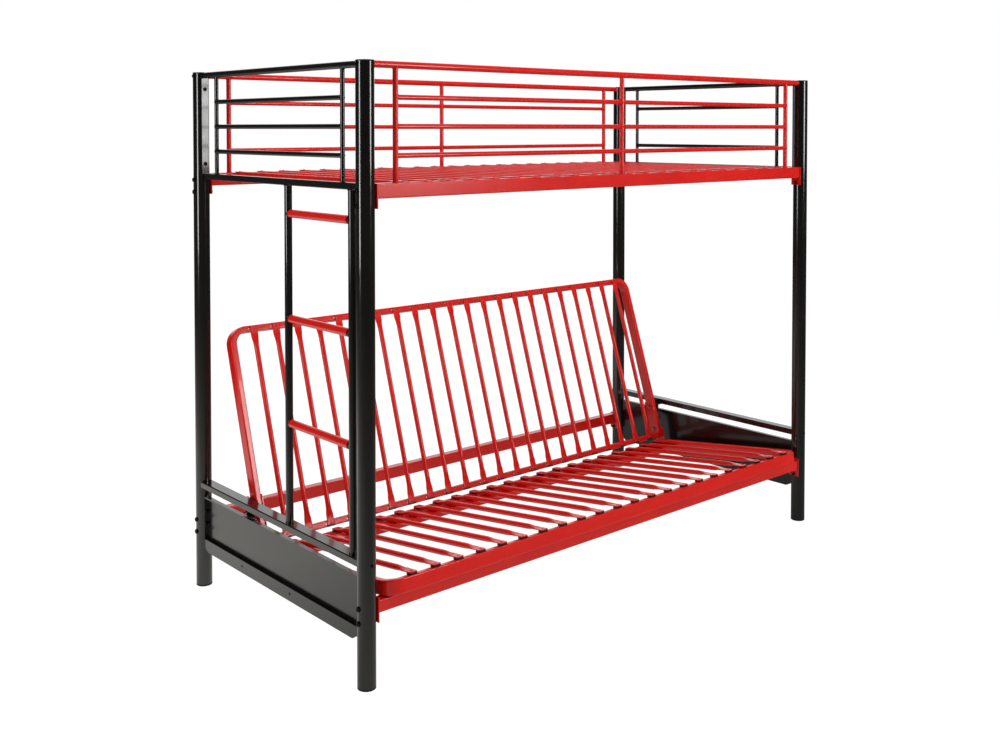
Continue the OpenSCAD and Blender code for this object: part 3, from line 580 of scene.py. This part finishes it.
# Caps and feet of the posts, as radii and heights of their turned outlines

# A rolled edge round a shallow dish, on a plug in the post
CAP_OUTLINE = np.array([
    (23.3, -7.5), (23.3, -4), (25, -4), (25, -1.6), (24.6, -0.6),
    (23.6, -0.1), (22, 0), (18, -0.5), (10, -0.9), (3, -1),
]) * MM

# A hollowed sole, two grip grooves, and a plug in the post
FOOT_OUTLINE = np.array([
    (8, 0.6), (22, 0.5), (24.2, 0), (24.8, 0.5), (25, 1.2), (24.3, 1.7), (24.3, 2.2),
    (25, 2.7), (24.3, 3.2), (24.3, 3.7), (25, 4.2), (25, 6), (23.3, 6), (23.3, 26),
]) * MM


def make_post_ends(name, outline, level, node):
    """One turned piece at the same end of every post, its outline's heights counted from a level."""
    shells = [
        skin(spun((post[0], post[1], level), Z_AXIS, *outline.T, around=48))
        for post in POSTS.values()
    ]
    make_piece(name, shells, PLASTIC, "frame", (node,))


make_post_ends("moulded_post_caps", CAP_OUTLINE, POST_TOP, "post_caps")
make_post_ends("moulded_post_feet", FOOT_OUTLINE, 0, "post_feet")


# Welds

# The guards: heights of their top rails' and bars' middles, tube radii and places of the uprights
GUARD_TOP = POST_TOP - 10 * MM
GUARD_BARS = GUARD_TOP - np.array([85, 162, 239]) * MM
GUARD_RAIL_R = 9.5 * MM
GUARD_BAR_R = 7 * MM
LONG_UPRIGHT_R = 7.5 * MM
LONG_UPRIGHT_INSET = 97 * MM
END_UPRIGHT_R = 6.5 * MM
END_UPRIGHT_REACH = 351 * MM
END_GUARD_FOOT = DECK_TOP + 0.5 * MM

STILE_R = 11 * MM
RUNG_R = 9.5 * MM


def weld_bead(centre, axis, other_axis, bar_r, other_r, bead=1.7 * MM, ripples=17):
    """Fillet weld where a round bar meets the side of another tube.

    The bead's middle line is the saddle curve: at each turn round the bar, its distance from the
    other tube's axis is the root of that tube's radius squared less the side step squared. On a
    flat, where the other radius is 0, it is a circle. Its thickness ripples as the welder's steps do.
    """
    side = np.cross(axis, other_axis)
    turn = steps_round(2 * ripples)
    reach = np.sqrt(np.clip(other_r ** 2 - (bar_r * np.sin(turn)) ** 2, 0, None))
    radial = np.cos(turn)[:, None] * other_axis + np.sin(turn)[:, None] * side
    line = np.array(centre) + reach[:, None] * axis + bar_r * radial
    thick = bead * (1 + 0.14 * np.cos(ripples * turn))
    cross = steps_round(7)[None, :, None]
    section = np.cos(cross) * radial[:, None] + np.sin(cross) * axis
    return loop_skin(line[:, None] + thick[:, None, None] * section)


def upright_beads(x, y, foot, radius, along, ways):
    """Beads of one guard upright: at its bars, whose ways along the guard are given, and at both ends."""
    beads = [
        weld_bead((x, y, z), way * along, Z_AXIS, GUARD_BAR_R, radius)
        for z in GUARD_BARS
        for way in ways
    ]
    beads.append(weld_bead((x, y, GUARD_TOP), -Z_AXIS, along, radius, GUARD_RAIL_R))
    beads.append(weld_bead((x, y, foot), Z_AXIS, along, radius, 0))
    return beads


def make_guard_welds():
    """Beads where the guards' bars and rails meet their uprights."""
    middle_y = (POSTS[1, 1][1] + POSTS[1, -1][1]) / 2
    red, black = [], []
    for (i, j), post in POSTS.items():
        x = post[0] - i * LONG_UPRIGHT_INSET
        y = middle_y + j * END_UPRIGHT_REACH
        red += upright_beads(x, post[1], DECK_TOP, LONG_UPRIGHT_R, X_AXIS, (-i,))
        black += upright_beads(post[0], y, END_GUARD_FOOT, END_UPRIGHT_R, Y_AXIS, (-j,))
    for j in (-1, 1):
        red += upright_beads(0, POSTS[1, j][1], DECK_TOP, LONG_UPRIGHT_R, X_AXIS, (-1, 1))
    make_piece("long_guard_welds", red, RED_COAT, "frame", sharp=80)
    make_piece("end_guard_welds", black, BLACK_COAT, "frame", sharp=80)


def make_ladder_welds():
    """Beads where the rungs meet the stiles, and at both ends of the stiles."""
    low, high = corners("ladder_front_stile")
    beads = []
    for stile, way in (("ladder_front_stile", 1), ("ladder_rear_stile", -1)):
        x, y, _ = middle(stile)
        for rung in ("top_rung", "middle_rung", "bottom_rung"):
            beads.append(weld_bead((x, y, middle(rung)[2]), way * Y_AXIS, Z_AXIS, RUNG_R, STILE_R))
        beads.append(weld_bead((x, y, low[2]), Z_AXIS, X_AXIS, STILE_R, 0))
        beads.append(weld_bead((x, y, high[2]), -Z_AXIS, X_AXIS, STILE_R, 0))
    make_piece("ladder_welds", beads, BLACK_COAT, "frame", sharp=80)


make_guard_welds()
make_ladder_welds()


# Springs

SPRING_WIRE_R = 1.1 * MM
SPRING_COIL_R = 5.4 * MM
SPRING_TURNS = 9
SPRING_EYE_R = 4.6 * MM
SPRING_LEAD = 3.5 * MM

# Studs from the hinge: the hinge plate's back and down, the back's on a radius forward of straight down
FIXED_STUD = (24 * MM, -33 * MM)
MOVING_STUD_R = 50 * MM
MOVING_STUD_SWING = np.radians(25)


def spring_path(start, end, eye_turn=0.85 * np.pi, eye_steps=16, steps_a_turn=20):
    """Middle line of a tension spring, and at each point of it a direction that the wire never takes.

    An arc goes round each stud in the plane square to the bed's length. Between the arcs runs a
    helix, whose radius is eased up from nothing over its first turn and down over its last. The
    direction is the bed's length on the arcs and the helix's radius on the helix.
    """
    start, end = np.array(start, float), np.array(end, float)
    span = np.linalg.norm(end - start)
    axis = (end - start) / span
    side = np.cross(axis, X_AXIS)
    turn = np.linspace(eye_turn, 0, eye_steps)[:, None]
    eye = SPRING_EYE_R * (np.cos(turn) * axis + np.sin(turn) * side)
    share = np.linspace(0, 1, SPRING_TURNS * steps_a_turn + 1)[:, None]
    swell = SPRING_COIL_R * ease(np.minimum(share, 1 - share) * SPRING_TURNS)
    angle = share * SPRING_TURNS * 2 * np.pi
    outwards = np.cos(angle) * X_AXIS + np.sin(angle) * side
    margin = SPRING_EYE_R + SPRING_LEAD
    coil = start + axis * (margin + (span - 2 * margin) * share) + swell * outwards
    across = np.tile(X_AXIS, (eye_steps, 1))
    path = np.concatenate([start + eye, coil, end - eye[::-1]])
    return path, np.concatenate([across, outwards, across])


def wire_rings(path, beside, radius, around=10):
    """Rings of a round wire, square to its path, each starting on the side that beside gives."""
    ahead = np.gradient(path, axis=0)
    ahead /= np.linalg.norm(ahead, axis=1, keepdims=True)
    first = beside - ahead * np.sum(ahead * beside, axis=1, keepdims=True)
    first /= np.linalg.norm(first, axis=1, keepdims=True)
    second = np.cross(ahead, first)
    angle = steps_round(around)[:, None]
    return path[:, None] + radius * (np.cos(angle) * first[:, None] + np.sin(angle) * second[:, None])


def make_springs():
    """The two springs, which stretch between the hinge plates' studs and the back's."""
    for side in ("left", "right"):
        x = middle(f"{side}_spring")[0]
        fixed = (x, HINGE[1] + FIXED_STUD[0], HINGE[2] + FIXED_STUD[1])
        moving = (
            x,
            HINGE[1] - MOVING_STUD_R * np.sin(MOVING_STUD_SWING),
            HINGE[2] - MOVING_STUD_R * np.cos(MOVING_STUD_SWING),
        )
        shell = skin(wire_rings(*spring_path(fixed, moving), SPRING_WIRE_R))
        piece = make_piece(
            f"{side}_spring_coil", [shell], SPRING_WIRE, None, (f"{side}_spring",), sharp=60
        )
        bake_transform(piece)


make_springs()


# Stage and light: what the camera sees, what gloss mirrors and what lights the bed are set apart

WHITE, BLACK = (1, 1, 1, 1), (0, 0, 0, 1)

# In gloss the floor is lit round a middle and fades with distance, in metres, up to a reach
FLOOR_HALF = 30.0
FLOOR_GLOW = 1.12
FLOOR_GLOW_SHARE = 0.85
PATCH_MIDDLE = (-1.6, 1.1, 0.0)
PATCH_REACH = 10.0
PATCH_LEVELS = (
    (0.7, (0.95, 0.94, 0.88, 1)),
    (1.6, (0.5, 0.495, 0.465, 1)),
    (3.0, (0.2, 0.198, 0.186, 1)),
    (6.0, (0.06, 0.06, 0.056, 1)),
)

# In gloss the room is dark with one white wall: the way to it, and the limits of its soft edges
WALL_WAY = (0.62, 0.78, 0.0)
WALL_SIDE_EDGE = ((0.72, BLACK), (0.86, WHITE))
WALL_TOP_EDGE = ((0.4, WHITE), (0.7, (0.12, 0.12, 0.12, 1)))
DARK_ROOM = (0.035, 0.034, 0.033, 1)
ROOM_LIGHT = 0.42


def make_floor():
    """Lays a wide floor: white with a soft shadow to the camera, and a lit patch in gloss.

    In reflections it is bright behind the bed's rear left foot and fades to a dark room.
    """
    h = FLOOR_HALF
    mesh = bpy.data.meshes.new("studio_floor")
    mesh.from_pydata([(-h, -h, 0), (h, -h, 0), (h, h, 0), (-h, h, 0)], [], [(0, 1, 2, 3)])
    floor = bpy.data.objects.new("studio_floor", mesh)
    bpy.context.scene.collection.objects.link(floor)
    material, tree = new_material("white_studio_floor")
    path = add_node(tree, "ShaderNodeLightPath")
    place = add_node(tree, "ShaderNodeTexCoord").outputs["Object"]
    away = add_node(tree, "ShaderNodeVectorMath", {1: PATCH_MIDDLE}, {0: place}, operation="DISTANCE")
    reach = add_node(tree, "ShaderNodeMath", {1: 1 / PATCH_REACH}, {0: away.outputs["Value"]},
                     operation="MULTIPLY")
    lit_patch = add_node(tree, "ShaderNodeValToRGB", links={"Fac": reach.outputs[0]},
                         stops=[(distance / PATCH_REACH, level) for distance, level in PATCH_LEVELS])
    glow = add_node(tree, "ShaderNodeEmission", {"Strength": FLOOR_GLOW})
    patch = add_node(tree, "ShaderNodeEmission", {"Strength": 1.0}, {"Color": lit_patch.outputs["Color"]})
    paint = add_node(tree, "ShaderNodeBsdfDiffuse", {"Color": linear("#F2F2F0")})
    share = add_node(tree, "ShaderNodeMath", {1: FLOOR_GLOW_SHARE}, {0: path.outputs["Is Camera Ray"]},
                     operation="MULTIPLY")
    seen = add_node(tree, "ShaderNodeMixShader",
                    links={0: share.outputs[0], 1: paint.outputs[0], 2: glow.outputs[0]})
    both = add_node(tree, "ShaderNodeMixShader",
                    links={0: path.outputs["Is Glossy Ray"], 1: seen.outputs[0], 2: patch.outputs[0]})
    add_node(tree, "ShaderNodeOutputMaterial", links={"Surface": both.outputs[0]})
    mesh.materials.append(material)


def make_world():
    """A white room to the camera, soft light all round, and in gloss a dark room with one white wall.

    The wall stands behind the bed as the photograph looks at it, to about 35 degrees high.
    """
    world = bpy.data.worlds.new("white_room")
    bpy.context.scene.world = world
    world.use_nodes = True
    tree = world.node_tree
    tree.nodes.clear()
    path = add_node(tree, "ShaderNodeLightPath")
    direction = add_node(tree, "ShaderNodeTexCoord").outputs["Generated"]
    towards = add_node(tree, "ShaderNodeVectorMath", {1: WALL_WAY}, {0: direction},
                       operation="DOT_PRODUCT")
    up = add_node(tree, "ShaderNodeSeparateXYZ", links={"Vector": direction})
    sideways = add_node(tree, "ShaderNodeValToRGB", links={"Fac": towards.outputs["Value"]},
                        stops=WALL_SIDE_EDGE)
    height = add_node(tree, "ShaderNodeValToRGB", links={"Fac": up.outputs["Z"]}, stops=WALL_TOP_EDGE)
    wall = add_node(tree, "ShaderNodeMix", {0: 1.0},
                    {6: sideways.outputs["Color"], 7: height.outputs["Color"]},
                    data_type="RGBA", blend_type="MULTIPLY")
    lifted = add_node(tree, "ShaderNodeMix", {0: 1.0, 7: DARK_ROOM}, {6: wall.outputs[2]},
                      data_type="RGBA", blend_type="ADD")
    gloss = add_node(tree, "ShaderNodeBackground", {"Strength": 1.0}, {"Color": lifted.outputs[2]})
    light = add_node(tree, "ShaderNodeBackground", {"Color": WHITE, "Strength": ROOM_LIGHT})
    seen = add_node(tree, "ShaderNodeBackground", {"Color": WHITE, "Strength": 1.0})
    lit = add_node(tree, "ShaderNodeMixShader",
                   links={0: path.outputs["Is Glossy Ray"], 1: light.outputs[0], 2: gloss.outputs[0]})
    both = add_node(tree, "ShaderNodeMixShader",
                    links={0: path.outputs["Is Camera Ray"], 1: lit.outputs[0], 2: seen.outputs[0]})
    add_node(tree, "ShaderNodeOutputWorld", links={"Surface": both.outputs[0]})


def add_lamp(name, place, target, width, height, watts, in_gloss=True):
    """Hangs one soft box at a place, turned to a target; in_gloss says if gloss mirrors it."""
    data = bpy.data.lights.new(name, "AREA")
    data.shape = "RECTANGLE"
    data.size, data.size_y, data.energy = width, height, watts
    lamp = bpy.data.objects.new(name, data)
    lamp.location = place
    away = np.array(target, float) - np.array(place, float)
    lamp.rotation_mode = "QUATERNION"
    lamp.rotation_quaternion = Vector(away.tolist()).to_track_quat("-Z", "Y")
    lamp.visible_glossy = in_gloss
    lamp.visible_camera = False
    bpy.context.scene.collection.objects.link(lamp)


# The photograph's camera: place in metres, angles in degrees, focal length and film width in mm
CAMERA_PLACE = (-2.6593, -2.8890, 1.46315)
CAMERA_DIP = 1.625
CAMERA_TURN = -41.377
LENS = 41.055
FILM_WIDTH = 36.0
FALLEN_FRONT = -0.2144


def make_camera():
    """The photograph's camera: eye level, a little above the guards' foot, with a fallen front."""
    data = bpy.data.cameras.new("photo_camera")
    data.lens, data.sensor_width = LENS, FILM_WIDTH
    data.shift_y = FALLEN_FRONT
    data.clip_end = 200.0
    camera = bpy.data.objects.new("photo_camera", data)
    camera.location = CAMERA_PLACE
    camera.rotation_euler = np.radians([90 - CAMERA_DIP, 0, CAMERA_TURN]).tolist()
    bpy.context.scene.collection.objects.link(camera)
    bpy.context.scene.camera = camera


make_floor()
make_world()
add_lamp("top_soft_box", (0, -0.8, 4.2), (0, 0, 0.6), 4.0, 3.0, watts=110, in_gloss=False)
add_lamp("front_soft_box", (3.2, -3.2, 2.0), (0.3, 0, 0.7), 2.0, 2.0, watts=44, in_gloss=False)
add_lamp("left_strip", (-3.45, 0.05, 1.65), (-0.9, 0, 1.65), 0.5, 1.7, watts=30)
add_lamp("right_strip", (1.6, -3.95, 1.8), (0.2, -0.3, 1.8), 1.0, 1.2, watts=42)
make_camera()

bpy.context.scene.view_settings.view_transform = "Standard"
